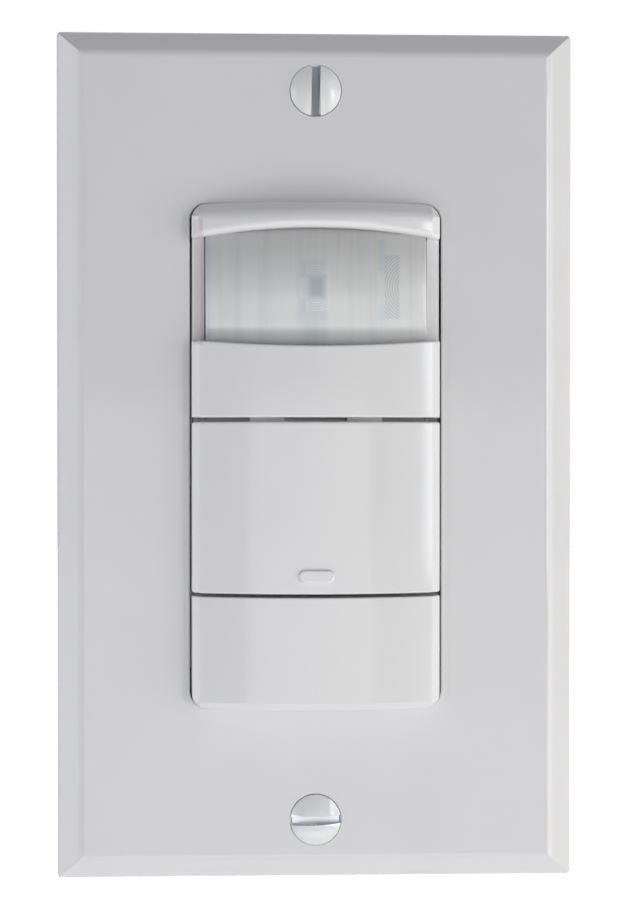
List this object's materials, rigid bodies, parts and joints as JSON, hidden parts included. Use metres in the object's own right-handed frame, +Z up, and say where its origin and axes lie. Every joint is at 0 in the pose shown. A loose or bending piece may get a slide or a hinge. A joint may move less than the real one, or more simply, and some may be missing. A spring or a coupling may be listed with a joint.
{
  "type": "motion sensor light switch",
  "caption": "Wall-mounted passive infrared light switch with a curved lens window, hinged push-button, lift-off dial cover and screw-fixed rectangular wall plate.",
  "frame": {"origin": "middle of the wall plate, on the plane of the wall, midway between the box screws", "axes": "+Z up, +X to the right seen from the room, +Y into the wall box"},
  "size_m": [0.0698, 0.0424, 0.1142],
  "materials": {
    "painted_cover": "gloss moulded plastic, white",
    "white_painted_steel": "painted white, bare in the slot",
    "zinc_steel": "zinc plated, pressed",
    "zinc_screw": "zinc plated",
    "fibre_board": "vulcanised fibre",
    "green_screw": "green dyed plating",
    "white_housing": "gloss moulded plastic, white",
    "milky_lens": "translucent polyethylene, milky",
    "green_laminate": "solder masked glass laminate",
    "nickel_can": "nickel plated can",
    "silicon_filter": "coated silicon",
    "clear_resin": "clear resin",
    "red_resin": "diffused red resin",
    "black_nylon": "black nylon",
    "blue_resin": "blue moulded resin",
    "white_dial": "white acetal",
    "black_epoxy": "black epoxy, tinned legs",
    "grey_housing": "matt moulded polyester, dark grey",
    "brass": "plain brass",
    "nickel_screw": "nickel plated",
    "relay_case": "blue moulded case",
    "yellow_case": "yellow moulded case",
    "black_sleeve": "shrink sleeve on aluminium",
    "copper_winding": "enamelled copper on ferrite",
    "blue_epoxy": "dipped epoxy"
  },
  "bodies": {
    "housing": {"wall_plate": "painted_cover", "plate_screws": "white_painted_steel", "mounting_strap": "zinc_steel", "box_screws": "zinc_screw", "screw_retainers": "fibre_board", "body_screws": "zinc_screw", "ground_screw": "green_screw", "front_frame": "white_housing", "lens": "milky_lens", "front_board": "green_laminate", "pir_detector": "nickel_can", "pir_window": "silicon_filter", "photocell": "clear_resin", "indicator_led": "red_resin", "tact_switch": "black_nylon", "trimmers": "blue_resin", "controller_chip": "black_epoxy", "board_header": "black_nylon", "rear_body": "grey_housing", "terminal_plates": "brass", "hot_screws": "brass", "neutral_screw": "nickel_screw", "power_board": "green_laminate", "relay": "relay_case", "film_capacitor": "yellow_case", "filter_capacitor": "black_sleeve", "choke": "copper_winding", "varistor": "blue_epoxy"},
    "button": {"push_button": "white_housing"},
    "plunger": {"switch_plunger": "black_nylon"},
    "cover": {"control_cover": "white_housing"},
    "time_knob": {"time_dial": "white_dial"},
    "light_knob": {"light_dial": "white_dial"},
    "range_knob": {"range_dial": "white_dial"}
  },
  "joints": [
    {"name": "button_press", "type": "hinge", "parent": "housing", "child": "button", "pos_m": [0, -0.0059, 0.0092], "axis": [1, 0, 0], "range_deg": [0, 1.67], "stiffness_Nm_per_rad": 0.15, "springref_deg": -5.73},
    {"name": "plunger_press", "type": "slide", "parent": "housing", "child": "plunger", "axis": [0, 1, 0], "range_m": [0, 0.00055]},
    {"name": "cover_pull", "type": "slide", "parent": "housing", "child": "cover", "axis": [0, -1, 0], "range_m": [0, 0.018]},
    {"name": "time_turn", "type": "hinge", "parent": "housing", "child": "time_knob", "pos_m": [-0.0088, -0.0004, -0.02565], "axis": [0, 1, 0], "range_deg": [-135, 135]},
    {"name": "light_turn", "type": "hinge", "parent": "housing", "child": "light_knob", "pos_m": [0, -0.0004, -0.02565], "axis": [0, 1, 0], "range_deg": [-135, 135]},
    {"name": "range_turn", "type": "hinge", "parent": "housing", "child": "range_knob", "pos_m": [0.0088, -0.0004, -0.02565], "axis": [0, 1, 0], "range_deg": [-135, 135]}
  ],
  "couplings": [
    {"joint": "plunger_press", "follows": "button_press", "m_per_rad": 0.0172}
  ]
}
